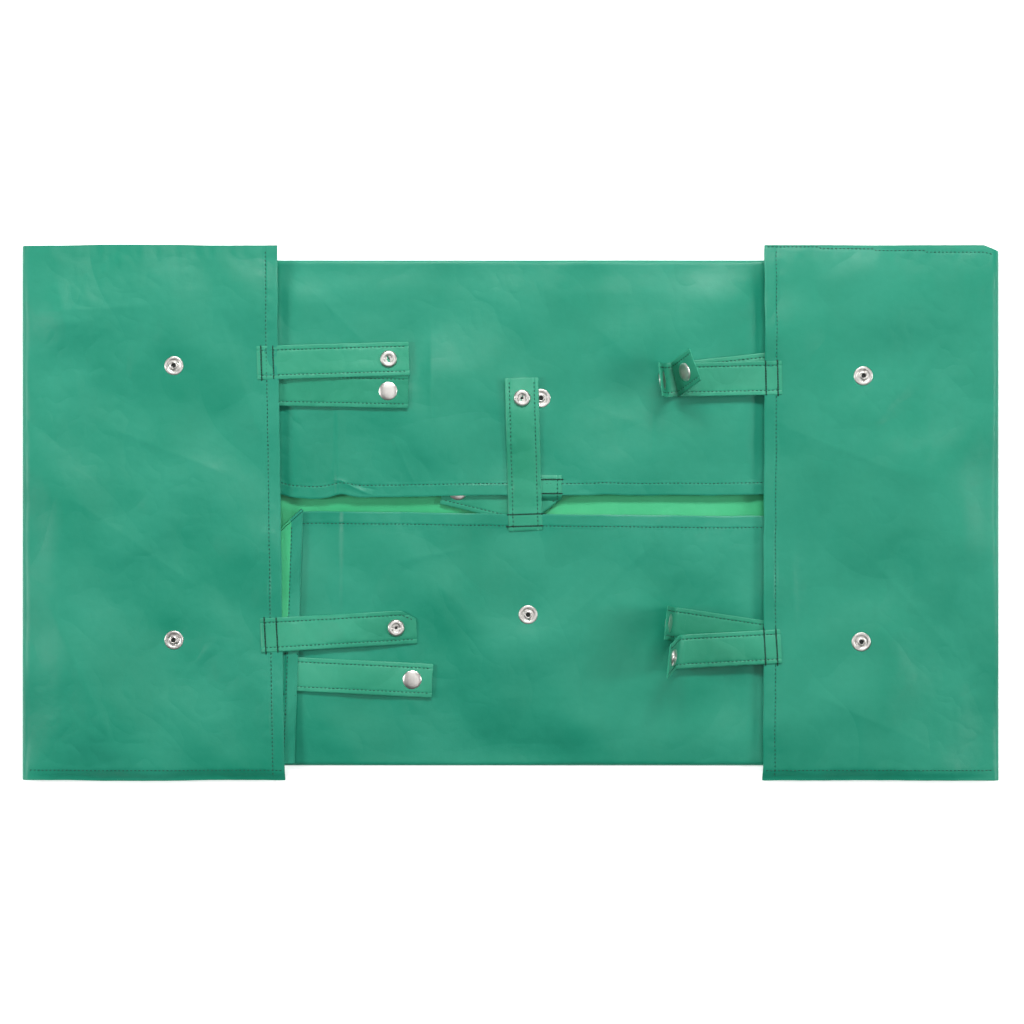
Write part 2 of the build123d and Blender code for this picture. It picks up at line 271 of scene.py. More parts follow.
def material(name):
    """A new material with a Principled shader on its output."""
    mat = bpy.data.materials.new(name)
    mat.use_nodes = True
    nodes, links = mat.node_tree.nodes, mat.node_tree.links
    nodes.clear()
    out = nodes.new("ShaderNodeOutputMaterial")
    skin = nodes.new("ShaderNodeBsdfPrincipled")
    links.new(skin.outputs[0], out.inputs[0])
    return mat, nodes, links, skin


def put(node, **values):
    """Sets a node's inputs by name, with an underscore for each space."""
    for name, value in values.items():
        node.inputs[name.replace("_", " ")].default_value = value


def colour_ramp(nodes, links, source, dark, light, skin):
    """Base colour that runs from dark to light with source."""
    ramp = nodes.new("ShaderNodeValToRGB")
    ramp.color_ramp.elements[0].color = (*dark, 1)
    ramp.color_ramp.elements[1].color = (*light, 1)
    links.new(source, ramp.inputs[0])
    links.new(ramp.outputs[0], skin.inputs["Base Color"])
    return ramp


def span(nodes, links, source, **ends):
    """A map range node, with From_Min and so on for its ends."""
    n = nodes.new("ShaderNodeMapRange")
    links.new(source, n.inputs["Value"])
    put(n, **ends)
    return n.outputs[0]


def raised(nodes, links, height, skin, strength, distance):
    """Bump from a height in units of distance."""
    bump = nodes.new("ShaderNodeBump")
    put(bump, Strength=strength, Distance=distance)
    links.new(height, bump.inputs["Height"])
    links.new(bump.outputs[0], skin.inputs["Normal"])


def cloth_material(name, deep, light, roughness=0.42, weave=0.03, crumple=1.0, sheen=0.05):
    """Coated woven polyester: a satin face with the weave showing through it."""
    mat, nodes, links, skin = material(name)
    uv = nodes.new("ShaderNodeUVMap")
    uv.uv_map = "cloth"

    def fresh(scale, detail, roughness_):
        """Noise over the cloth's own flat coordinates."""
        n = nodes.new("ShaderNodeTexNoise")
        put(n, Scale=scale, Detail=detail, Roughness=roughness_)
        links.new(uv.outputs[0], n.inputs["Vector"])
        return n.outputs["Fac"]

    def maths(operation, *inputs):
        """A math node's output; each input is a number or another node's output."""
        n = nodes.new("ShaderNodeMath")
        n.operation = operation
        for socket, value in zip(n.inputs, inputs):
            if isinstance(value, (int, float)):
                socket.default_value = value
            else:
                links.new(value, socket)
        return n.outputs[0]

    def ridged(source):
        """A sharp valley where the noise crosses its middle."""
        return maths("ABSOLUTE", maths("SUBTRACT", source, 0.5))

    broad = fresh(1.1, 3, 0.55)
    mixed = maths("MULTIPLY_ADD", fresh(14.0, 5, 0.6), 0.35, broad)
    ramp = colour_ramp(nodes, links, mixed, deep, light, skin)
    ramp.color_ramp.elements[0].position = 0.42
    ramp.color_ramp.elements[1].position = 0.95
    waves = []
    for direction in ("X", "Y"):
        w = nodes.new("ShaderNodeTexWave")
        w.wave_type = "BANDS"
        w.bands_direction = direction
        put(w, Scale=34.0, Distortion=0.6, Detail=1.0, Detail_Scale=3.0)
        links.new(uv.outputs[0], w.inputs["Vector"])
        waves.append(w.outputs["Fac"])
    # heights in millimetres: weave, crinkle, small creases that come and go, and broad folds
    patch = span(nodes, links, fresh(0.55, 2, 0.5), From_Min=0.42, From_Max=0.62)
    small = maths("MULTIPLY", ridged(fresh(4.2, 1.5, 0.45)), patch)
    height = maths("MULTIPLY", maths("MULTIPLY", *waves), weave)
    for source, factor in (
        (fresh(9.0, 4, 0.55), 0.22),
        (small, 1.6 * crumple),
        (ridged(fresh(2.2, 1, 0.4)), 2.0 * crumple),
        (ridged(fresh(0.8, 0.5, 0.3)), 6.0 * crumple),
        (fresh(0.9, 1, 0.4), 26.0 * crumple),
    ):
        height = maths("MULTIPLY_ADD", source, factor, height)
    raised(nodes, links, height, skin, 1.0, 0.001)
    ends = {"From_Min": 0.3, "From_Max": 0.7, "To_Min": roughness - 0.05, "To_Max": roughness + 0.06}
    links.new(span(nodes, links, broad, **ends), skin.inputs["Roughness"])
    put(skin, Specular_IOR_Level=0.4, Sheen_Weight=sheen, Sheen_Roughness=0.4, Sheen_Tint=(0.4, 1.0, 0.8, 1))
    return mat


def thread_material(name, deep, light):
    """Twisted thread; also the near-black disc in a snap's bore, painted shade for the inside of its hole."""
    mat, nodes, links, skin = material(name)
    twist = nodes.new("ShaderNodeTexWave")
    put(twist, Scale=900.0, Distortion=1.0)
    where = nodes.new("ShaderNodeTexCoord")
    links.new(where.outputs["Object"], twist.inputs["Vector"])
    colour_ramp(nodes, links, twist.outputs["Fac"], deep, light, skin)
    raised(nodes, links, twist.outputs["Fac"], skin, 0.3, 0.0001)
    put(skin, Roughness=0.6)
    return mat


def metal_material():
    """Bright nickel plate, slightly warm, with fine scuffs and dull spots."""
    mat, nodes, links, skin = material("snap_nickel")
    where = nodes.new("ShaderNodeTexCoord")
    spots = nodes.new("ShaderNodeTexNoise")
    put(spots, Scale=260.0, Detail=4.0)
    links.new(where.outputs["Object"], spots.inputs["Vector"])
    colour_ramp(nodes, links, spots.outputs["Fac"], (0.60, 0.57, 0.53), (0.80, 0.78, 0.75), skin)
    rough = span(nodes, links, spots.outputs["Fac"], To_Min=0.30, To_Max=0.44)
    links.new(rough, skin.inputs["Roughness"])
    put(skin, Metallic=1.0)
    return mat


OUTER = cloth_material("coated_cloth_outer", (0.005, 0.240, 0.143), (0.016, 0.286, 0.182), roughness=0.44)
INNER = cloth_material("coated_cloth_inner", (0.034, 0.415, 0.172), (0.050, 0.47, 0.212), roughness=0.5)
WEB = cloth_material("strap_cloth", (0.019, 0.278, 0.156), (0.030, 0.330, 0.200), roughness=0.48, crumple=1.4)
THREAD = thread_material("seam_thread", (0.004, 0.060, 0.038), (0.010, 0.125, 0.080))
BAR_THREAD = thread_material("bar_tack_thread", (0.003, 0.030, 0.020), (0.008, 0.065, 0.042))
NICKEL = metal_material()
# a near-black disc in each snap's bore: painted shade for the inside of its hole
HOLE_SHADE = thread_material("snap_hole", (0.004, 0.006, 0.005), (0.008, 0.012, 0.010))
CLOTH_MATS = [OUTER, INNER, THREAD]
STRAP_MATS = [WEB, WEB, THREAD, BAR_THREAD]


# ---- panel outlines


def unit(a, b):
    size = math.dist(a, b)
    return (b[0] - a[0]) / size, (b[1] - a[1]) / size


def between(a, b, share):
    return a[0] + (b[0] - a[0]) * share, a[1] + (b[1] - a[1]) * share


def mirrored(p, a, b):
    ux, uy = unit(a, b)
    along = (p[0] - a[0]) * ux + (p[1] - a[1]) * uy
    return 2 * (a[0] + along * ux) - p[0], 2 * (a[1] + along * uy) - p[1]


def hem_y(side, x):
    sign = 1 if side == "rear" else -1
    share = (x + LENGTH / 2) / LENGTH
    left, right = HEIGHTS[side]
    return sign * (WIDTH / 2 - left * (1 - share) - right * share)


def hem_x(side, y):
    sign = -1 if side == "left" else 1
    rear, front = HEIGHTS[side]
    share = (y + END_WIDTH / 2) / END_WIDTH
    return sign * (LENGTH / 2 - front * (1 - share) - rear * share)


def gusset_points(corner):
    sx, sy, rim_x, height = CORNERS[corner]
    start = (sx * CORNER_X, sy * LONG_AXIS_Y)
    rim = (rim_x, hem_y("rear" if sy > 0 else "front", rim_x))
    top = mirrored((start[0], start[1] - sy * height), start, rim)
    return start, top, rim


# ---- straps


class Strap:
    """A strap: its place, its hinge at the hem, and the turned-up end that some have (curl)."""

    def __init__(self, name, wall, socket_at, stud_at, face, up, slope=0.0, lift=0.0, curl=None, clip=0.0):
        self.name, self.wall, self.face, self.up, self.slope, self.curl = name, wall, face, up, slope, curl
        self.clip, self.side = clip, 1 if up else -1
        self.run = math.dist(socket_at, stud_at) / 2
        self.way = math.atan2(socket_at[1] - stud_at[1], socket_at[0] - stud_at[0])
        self.hinge_at = between(socket_at, stud_at, 0.5)
        self.stud_at = stud_at
        self.middle = STRAP / 2 + lift
        self.axis_rise = (self.middle + CLOSED_RISE) / 2

    def bend(self):
        """Angle, skew, half length, radius and pivot height of the curled end's bend."""
        _, angle, skew = self.curl
        angle, skew = math.radians(angle), math.radians(skew) * self.side
        rise = 1.2
        half = rise / (2 / angle - 1 / math.tan(angle / 2))
        return angle, skew, half, 2 * half / angle, rise

    def snap_matrix(self):
        """Where the strap's snap is: z runs out of the strap's outer face, from its middle."""
        turn = lambda degrees, axis: Matrix.Rotation(math.radians(degrees), 4, axis)
        lever = Matrix.Translation((0, 0, self.axis_rise - self.middle))
        place = Matrix.Translation((*self.hinge_at, self.face)) @ turn(math.degrees(self.way), "Z")
        if not self.up:
            place = place @ turn(180, "X")
        tilt = lever @ turn(-self.slope, "Y") @ lever.inverted()
        place = place @ Matrix.Translation((0, 0, self.middle)) @ tilt
        if self.curl:
            angle, skew, _, _, rise = self.bend()
            pivot = Matrix.Translation((self.curl[0], 0, self.side * rise)) @ Matrix.Rotation(skew, 4, "Z")
            place = place @ pivot @ Matrix.Rotation(-angle * self.side, 4, "Y") @ pivot.inverted()
        return place @ Matrix.Translation((self.run, 0, 0))

    def world(self, local):
        """From the strap's frame (along, across, out from the wall's face) to the row frame."""
        local = np.asarray(local, float)
        x, y, z = local[..., 0], local[..., 1], local[..., 2]
        if not self.up:
            y, z = -y, -z
        c, s = math.cos(self.way), math.sin(self.way)
        hx, hy = self.hinge_at
        return np.stack([hx + c * x - s * y, hy + s * x + c * y, self.face + z], -1)


END_STRAPS = [
    Strap("left_rear_strap", "left", (-100.9, 127.4), (-278.4, 121.8), END_FACE, True, -1.4),
    Strap("left_front_strap", "left", (-94.7, -95.2), (-278.4, -105.1), END_FACE, True, -2.6, clip=7.5),
    Strap("right_rear_strap", "right", (117.3, 109.6), (291.7, 113.4), END_FACE, True, curl=(68.5, 120, 12)),
    Strap("right_front_strap", "right", (117.4, -116.0), (290.0, -106.6), END_FACE, True,
          curl=(64.5, 76, -11)),
]
GUSSET_STRAPS = [
    Strap("gusset_rear_left_strap", "rear_left", (-101.4, 100.9), (-276.5, 104.6), GUSSET_Z, False),
    Strap("gusset_front_left_strap", "front_left", (-81.5, -138.2), (-260.0, -129.4), GUSSET_Z, False),
    Strap("gusset_rear_right_strap", "rear_right", (119.0, 108.7), (306.0, 129.1), GUSSET_Z, False,
          curl=(84.0, 78, 0)),
    Strap("gusset_front_right_strap", "front_right", (119.5, -89.6), (305.5, -117.4), GUSSET_Z, False,
          curl=(77.8, 76, 3)),
]
FRONT_CENTRE = Strap("front_centre_strap", "front", (9.5, 95.2), (14.5, -84.4), LONG_FACE, True, 1.5, 1.0)
REAR_STUD = (25.2, 95.2)


def strap_surface(x, y, seed):
    """How far the strap's face stands proud: folded edges, edge stitching and small puckers."""
    inset = STRAP_WIDTH / 2 - np.abs(y)
    puff = 0.14 * smooth(inset, 3.7, 6.5) + 0.16 * smooth(inset, 0, 0.8) * (1 - smooth(inset, 2.9, 3.9))
    groove = -0.24 * bell(inset - 3.8, 0.6)
    pucker = 0.20 * noise(x, y, 4.5, 9.0, seed) * smooth(inset, 0.6, 3.0) * (1 - smooth(inset, 5.5, 10))
    round_off = -0.16 * (1 - smooth(inset, 0.0, 0.6))
    wander = 0.16 * noise(x, y, 26, 18, seed + 1) + 0.16 * ridges(x, y, 11, 19, seed + 2)
    return puff + groove + pucker + round_off + wander


def across_samples():
    """Fine towards both edges of a strap, coarser in its middle."""
    half = np.concatenate(
        [np.linspace(0, 8, 7)[:-1], np.linspace(8, 12.6, 11)[:-1], np.linspace(12.6, STRAP_WIDTH / 2, 6)]
    )
    return np.concatenate([-half[::-1], half[1:]])


def strap_piece(strap, start, end, seed, bent, root=False, tip=False):
    """A length of strap from start to end along it. bent maps local mid-surface points to their place."""
    xs = spaced(start, end, 0.9)
    ys = across_samples()
    x, y = np.meshgrid(xs, ys, indexing="ij")
    # eased corners at the free end, and a slightly uneven width
    width = 1 + 0.006 * noise(x, y * 0, 30, 10, seed + 5)
    if tip:
        width = width * (1 - 0.025 * smooth(x, end - 1.5, end) ** 2)
        x = x - 0.5 * smooth(x, end - 10, end) * (0.5 + 0.5 * noise(y, y * 0, 9, 10, seed + 6))
    y = y * width
    if tip and strap.clip:
        cut = 14 - strap.clip * np.clip((x - (end - 12)) / 12, 0, 1)
        y = np.where(y > 0, y * cut / 14, y)
    mid = np.stack([x, y, np.zeros_like(x)], -1)
    stand = strap_surface(x, y, seed)
    ends = np.zeros_like(x)
    if root:
        ends += 0.3 * (1 - smooth(x - start, 0.0, 1.2))
        for bar in BAR_TACKS:
            ends += 0.12 * bell(x - start - bar, 0.7)
    if tip:
        ends += 0.2 * (1 - smooth(end - x, 0.0, 0.8))
    piece = Cloth(strap.name + ("_end_cloth" if tip and not root else "_cloth"))
    world = bent(mid)
    outer = 0.5 + stand - ends
    inner = 0.5 + stand * 0.8 - ends
    flat = np.stack([x, y + seed * 40], -1)
    # du runs along the strap and dv across it, so du x dv is the strap's own out direction
    top, low, normal = piece.sheet(world, flat, outer, inner, outer_slot=0, inner_slot=1)
    return piece, xs, ys, top, low, normal


def bar_tack(piece, top, normal, i, sink, step):
    """A double line of close stitches across a strap, a few millimetres past both its edges onto the hem."""
    line = top[i]
    first, last = line[0] - line[1], line[-1] - line[-2]
    a = line[0] + first / np.linalg.norm(first) * 3.5 - normal[i, 0] * sink
    b = line[-1] + last / np.linalg.norm(last) * 4.0 - normal[i, -1] * sink
    path = np.concatenate([[a], line[1:-1], [b]])
    norm = np.concatenate([[normal[i, 1]], normal[i, 1:-1], [normal[i, -2]]])
    for shift in (-0.28, 0.28):
        piece.stitches(path + step * shift, norm, slot=3, pitch=1.35, size=1.5, thread=0.34, sink=0.0)


def stitch_strap(piece, xs, ys, top, low, normal, start, end, root, tip):
    """Edge stitching down both sides, ending 2.4 mm short of a tip, and two bar-tack lines across the root.
    """
    stop = nearest(xs, end - 2.4) if tip else len(xs) - 1
    begin = nearest(xs, start + 3.0) if root else 0
    for y in (-STRAP_STITCH, STRAP_STITCH):
        piece.both_sides(slice(begin, stop + 1), nearest(ys, y), top, low, normal)
    if root:
        for bar in BAR_TACKS:
            i = nearest(xs, start + bar)
            step = (top[i + 1] - top[i])[len(ys) // 2]
            bar_tack(piece, top, normal, i, 0.75, step / np.linalg.norm(step))


def centre_z(strap, x):
    """Height of the strap's middle above the wall's face, along its length."""
    rise = math.tan(math.radians(strap.slope))
    free = strap.middle + rise * x
    sewn = STRAP / 2 + 0.35
    wave = 0.25 * noise(x, x * 0, 38, 10, len(strap.name)) * smooth(x, 6, 30)
    return sewn + (free - sewn) * smooth(x, -3, 16) + wave


def make_strap(strap, seed):
    """A strap from its sewn root to its tip, or to its turned-up end, which is a piece of its own."""
    end = strap.run + STRAP_END
    start = -(TAB + 3.0)
    split = strap.curl[0] - 9.0 if strap.curl else end

    def lay(mid):
        out = mid.copy()
        x, y = mid[..., 0], mid[..., 1]
        # flat under the snap
        keep = smooth(np.abs(x - strap.run), 12, 30)
        flat_z = strap.middle + math.tan(math.radians(strap.slope)) * x
        z = centre_z(strap, x)
        out[..., 2] = np.where(x > 20, flat_z + (z - flat_z) * keep, z)
        out[..., 2] += 0.18 * noise(x, y, 30, 22, seed + 3) * smooth(x, 8, 30) * keep
        return strap.world(out)

    whole = not strap.curl
    piece, *surface = strap_piece(strap, start, split, seed, lay, root=True, tip=whole)
    stitch_strap(piece, *surface, start, split, True, whole)
    obj = piece.build(STRAP_MATS)
    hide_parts(strap.name)
    a, b = strap.world([(-2.5, 0, 0.5), (4.0, 0, 0.5)]) * MM
    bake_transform(obj)
    if strap.curl:
        at = strap.curl[0]
        angle, skew, half, radius, _ = strap.bend()

        def curled(mid):
            out = mid.copy()
            z0 = strap.middle + math.tan(math.radians(strap.slope)) * mid[..., 0]
            c, s = math.cos(skew), math.sin(skew)
            x, y = mid[..., 0] - at, mid[..., 1]
            q, r = c * x + s * y, -s * x + c * y
            inside = np.clip((q + half) / (2 * half), 0, 1) * angle
            past = np.maximum(q - half, 0)
            # the cloth beyond the bend keeps a slight bow of its own
            bow = 0.5 * smooth(past, 0, 12) * noise(q, r, 16, 14, seed + 8)
            ca, sa = math.cos(angle), math.sin(angle)
            qn = np.where(q < -half, q, -half + radius * np.sin(inside) + past * ca - bow * sa)
            zn = radius * (1 - np.cos(inside)) + past * sa + bow * ca
            out[..., 0], out[..., 1] = c * qn - s * r + at, s * qn + c * r
            out[..., 2] = z0 + strap.side * zn
            return strap.world(out)

        tip, *surface = strap_piece(strap, split, end, seed, curled, tip=True)
        stitch_strap(tip, *surface, split, end, False, True)
        obj2 = tip.build(STRAP_MATS)
        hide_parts(strap.name + "_end")
        cross = np.array([math.cos(skew), math.sin(skew), 0.0]) * half
        ends = curled(np.array([(at, 0, 0) - cross, (at, 0, 0) + cross])) * MM
        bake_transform(obj2)


# ---- panels


def near_studs(x, y, studs):
    """0 at a stud and 1 well away from it: the rivet holds the cloth at its true height."""
    keep = np.ones_like(x)
    for sx, sy in studs:
        keep *= 1 - bell(np.hypot(x - sx, y - sy), 13.0)
    return keep


def hem_profile(d, along, seed):
    """Outer and inner stand-off across a hem, d being the distance in from the rim."""
    band = 1 - smooth(d, HEM - 1.0, HEM + 1.2)
    groove = bell(d - (HEM - 1.0), 0.8)
    pucker = noise(along, d, 5.2, 13.0, seed) * smooth(d, 2.5, 8) * (1 - smooth(d, HEM + 1, HEM + 9))
    pucker = pucker * (0.55 + 0.45 * noise(along, d * 0, 60, 10, seed + 2))
    wave = noise(along, d * 0, 21.0, 10.0, seed + 1)
    rim = 1 - smooth(d, 0, 1.1)
    outer = CLOTH / 2 + band * (0.34 + 0.14 * wave) - 0.34 * groove + 0.34 * pucker - 0.32 * rim
    inner = CLOTH / 2 + band * 0.55 - 0.2 * groove + 0.08 * pucker - 0.35 * rim
    return outer, inner


def turned(d, extra=0.0):
    """Slots of a panel's inner faces: the hem shows the cloth's outer side, turned over, and the second
    argument widens that darker band as painted shade.
    """
    return np.where((d - extra)[:-1, 1:] < HEM, 0, 1)


def bulk_and_hem(total, bulk_step):
    """Shares (0 to 1 of the panel short of its hem) and then distances within the hem zone."""
    return np.linspace(0, 1, int(total / bulk_step)), spaced(0, HEM_ZONE, HEM_STEP)


def panel_grid(reach):
    """c, the distance up the cloth from the floor's edge, along each station's reach."""
    shares, zone = bulk_and_hem(215, 2.1)
    reach = np.asarray(reach)[:, None]
    bulk = shares[None, :-1] * (reach - zone[-1])
    return np.concatenate([bulk, reach - zone[-1] + zone[None, :]], axis=1)


def hem_row(count):
    """Which of a panel's count rows the hem's stitches follow."""
    return count - 1 - int(round(HEM_STITCH / HEM_STEP))


def make_long_wall(side):
    """A long wall: up round its fold at the floor, and flat from there to its hem."""
    sy = 1 if side == "rear" else -1
    ls, _, lr = gusset_points(side + "_left")
    rs, _, rr = gusset_points(side + "_right")
    bend = math.pi * LONG_R
    us = spaced(0, 1, 1.55 / (rs[0] - ls[0]))
    # reach of the cloth at each station, measured from the floor's edge
    left_reach, right_reach = abs(lr[1] - ls[1]), abs(rr[1] - rs[1])
    flat_reach = left_reach + (right_reach - left_reach) * us
    reach = bend + flat_reach
    c = panel_grid(reach)
    u = np.broadcast_to(us[:, None], c.shape)
    share = np.clip((c - bend) / (reach[:, None] - bend), 0, 1)
    x_left, x_right = ls[0] + (lr[0] - ls[0]) * share, rs[0] + (rr[0] - rs[0]) * share
    x = x_left + (x_right - x_left) * u
    phi = np.clip(c / LONG_R, 0, math.pi)
    y = LONG_AXIS_Y + LONG_R * np.sin(phi) - np.maximum(c - bend, 0)
    z = LONG_AXIS_Z - LONG_R * np.cos(phi)
    y = sy * y
    d = reach[:, None] - c
    seed = 10 if side == "rear" else 20
    studs = [REAR_STUD] if side == "rear" else [FRONT_CENTRE.stud_at]
    on_top = smooth(c, bend * 0.4, bend + 25)
    calm = near_studs(x, y, studs) * on_top
    z = z + calm * broad_shape(side, x, y, seed)
    # it gives way a little under the end walls' hems
    z = z - 1.5 * (bell(x - hem_x("left", y), 8) + bell(x - hem_x("right", y), 8)) * on_top
    uneven = 0.75 + 0.5 * noise(x, x * 0, 120, 10, seed + 6)
    droop = 1 - 0.34 * (1 - smooth(c, bend * 0.9, bend + 34)) * uneven
    z = CLOTH / 2 + (z - CLOTH / 2) * droop
    # the rim isn't quite straight
    ragged = 0.5 * noise(x, x * 0, 90, 10, seed + 7) + 0.35 * noise(x, x * 0, 17, 10, seed + 8)
    if side == "rear":
        ragged = ragged + 2.6 * bell(x + 140, 9) - 1.2 * bell(x + 165, 14) + 3.0 * smooth(-x, 180, 196)
    y = y + sy * ragged * (1 - smooth(d, 0, 45))
    mid = np.stack([x, y, z], -1)
    outer, inner = hem_profile(d, x, seed + 3)
    piece = Cloth(f"{side}_wall_cloth")
    flat = np.stack([x, c + seed * 30], -1)
    top, low, normal = piece.sheet(mid, flat, outer, inner, inner_slot=turned(d), outer_up=sy < 0)
    piece.both_sides(slice(8, -8), hem_row(c.shape[1]), top, low, normal)
    obj = piece.build(CLOTH_MATS)
    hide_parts(side + "_wall", f"{side}_strap_tab")
    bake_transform(obj)


def make_end_wall(side):
    """An end wall: up round its fold, flat to its hem, with a seam allowance down each side."""
    sx = -1 if side == "left" else 1
    bend = math.pi * END_R
    us = spaced(-1, 1, 2 * 1.45 / END_WIDTH)
    half = END_WIDTH / 2
    reach = bend + np.abs(sx * END_AXIS_X - hem_x(side, us * half))
    c = panel_grid(reach)
    u = np.broadcast_to(us[:, None], c.shape)
    seed = 30 if side == "left" else 40
    # the cloth widens from the floor's corners to the full width with its seam allowances
    wide = LONG_AXIS_Y + 1.5 + (half - LONG_AXIS_Y - 1.5) * smooth(c, bend * 0.02, bend * 0.36)
    y = u * wide
    phi = np.clip(c / END_R, 0, math.pi)
    x = END_AXIS_X + END_R * np.sin(phi) - np.maximum(c - bend, 0)
    z = END_AXIS_Z - END_R * np.cos(phi)
    x = sx * x
    d = reach[:, None] - c
    e = wide - np.abs(y)
    studs = [s.stud_at for s in END_STRAPS if s.wall == side]
    on_top = smooth(c, bend * 0.4, bend + 25)
    calm = near_studs(x, y, studs) * on_top
    z = z + calm * broad_shape(side, x, y, seed)
    z = CLOTH / 2 + (z - CLOTH / 2) * (1 - 0.10 * (1 - smooth(c, bend * 0.9, bend + 30)))
    flange = (1 - smooth(e, 5.0, 9.0)) * (u < 0)
    z = z + flange * on_top * (0.5 * noise(x, e, 17, 20, seed + 5) - 0.35)
    z = z - 2.8 * (1 - smooth(e, 0.0, 9.5)) * (u < 0) * on_top
    ragged = 0.6 * noise(y, y * 0, 80, 10, seed + 7) + 0.35 * noise(y, y * 0, 18, 10, seed + 6)
    x = x + ragged * (1 - smooth(d, 0, 45))
    if side == "right":
        # the rear corner's seam has pulled the cloth in
        y = y - 5.0 * np.clip((x - (LENGTH / 2 - 13)) / 12.5, 0, 1) * smooth(u, 0.93, 1)
    y = y + np.sign(y) * 0.5 * noise(x, x * 0, 45, 10, seed + 8) * (1 - smooth(e, 0, 20))
    mid = np.stack([x, y, z], -1)
    outer, inner = hem_profile(d, y, seed + 3)
    inset = np.where(y < 0, 8.0, 1.6 + 4.5 * smooth(np.abs(x), 215, 400) if side == "right" else -9.0)
    seam = bell(e - inset, 0.8) * on_top
    ruffle = noise(x, e, 5.5, 12.0, seed + 9) * (1 - smooth(e, 8, 17)) * on_top
    outer = outer - 0.30 * seam + 0.30 * ruffle + 0.15 * (1 - smooth(e, 7.0, 8.6)) * on_top * (u < 0)
    inner = inner - 0.1 * seam + 0.45 * (1 - smooth(e, 7.5, 9)) * on_top
    piece = Cloth(f"{side}_end_wall_cloth")
    flat = np.stack([c + seed * 30, y], -1)
    slots = turned(np.minimum(d, e + 2))
    top, low, normal = piece.sheet(mid, flat, outer, inner, inner_slot=slots, outer_up=sx > 0)
    piece.both_sides(slice(3, -3), hem_row(c.shape[1]), top, low, normal)
    middle = len(us) // 2
    begin, stop = nearest(c[middle], bend * 1.02), c.shape[1] - 3
    piece.both_sides(nearest(us * half + half, 8.0), slice(begin, stop), top, low, normal)
    if side == "right":
        columns = np.arange(begin, stop)
        rows = [nearest(e[middle:, k], inset[-1, k]) + middle for k in columns]
        piece.stitches(top[rows, columns], normal[rows, columns])
    obj = piece.build(CLOTH_MATS)
    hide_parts(side + "_end_wall", f"{side}_end_strap_tabs")
    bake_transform(obj)


def make_gusset(corner):
    """A corner's triangle, turned back over its long wall round a diagonal crease."""
    start, top_, rim = gusset_points(corner)
    size = math.dist(start, rim)
    bend = math.pi * CREASE_R
    # rows run parallel to the hem, from the corner out to it
    reach = math.dist(start, between(rim, top_, 0.5))
    shares, zone = bulk_and_hem(reach, 2.3)
    rows = np.concatenate([shares[:-1] * (reach - zone[-1]), reach - zone[-1] + zone]) / reach
    rows = np.maximum(rows, 0.004)
    width = math.dist(rim, top_)
    across = np.concatenate([np.linspace(-1, 0, 13)[:-1], np.linspace(0, 1, int(width / 2.0))])
    r, a = np.meshgrid(rows, across, indexing="ij")
    x, y = between(between(start, rim, r), between(start, top_, r), np.maximum(a, 0))
    # round the crease, away from the gusset
    ux, uy = unit(start, rim)
    away = np.array([-uy, ux])
    if away @ (top_[0] - start[0], top_[1] - start[1]) >= 0:
        away = -away
    turn = math.pi * np.maximum(-a, 0)
    x = x + away[0] * CREASE_R * np.sin(turn)
    y = y + away[1] * CREASE_R * np.sin(turn)
    z = LONG_Z + CLOTH / 2 + CREASE_R + CREASE_R * np.cos(turn)
    limit = LONG_AXIS_Y + 1.0
    y = np.where(np.abs(y) > limit, np.sign(y) * (limit + (np.abs(y) - limit) * 0.02), y)
    d = (1 - r) * reach
    seed = {"rear_left": 50, "front_left": 60, "rear_right": 70, "front_right": 80}[corner]
    strap = [s for s in GUSSET_STRAPS if s.wall == corner][0]
    calm = near_studs(x, y, [strap.stud_at]) * smooth(a, 0, 0.12)
    z = z + calm * (0.35 * noise(x, y, 60, 60, seed) + 0.15 * noise(x, y, 22, 30, seed + 1))
    mid = np.stack([x, y, z], -1)
    outer, inner = hem_profile(d, a * width, seed + 3)
    piece = Cloth(f"gusset_{corner}_cloth")
    flat = np.stack([r * reach + seed * 20, a * width * r], -1)
    # the gusset lies inside face up
    probe = np.cross(np.gradient(mid, axis=0)[-3, -3], np.gradient(mid, axis=1)[-3, -3])[2]
    # painted shade: along its lower part, the front left gusset's inner face takes the darker outer cloth in
    # a further band past its hem, where the end wall's shadow falls
    extra = 11.0 * smooth(-y, 86, 104) if corner == "front_left" else 0.0
    top, low, normal = piece.sheet(mid, flat, outer, inner, inner_slot=turned(d, extra), outer_up=probe < 0)
    piece.both_sides(hem_row(len(rows)), slice(14, -2), top, low, normal)
    obj = piece.build(CLOTH_MATS)
    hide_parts(f"gusset_{corner}", f"gusset_{corner}_strap_tab")
    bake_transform(obj)
    area = 0.5 * abs((rim[0] - start[0]) * (top_[1] - start[1]) - (rim[1] - start[1]) * (top_[0] - start[0]))
    area += size * bend


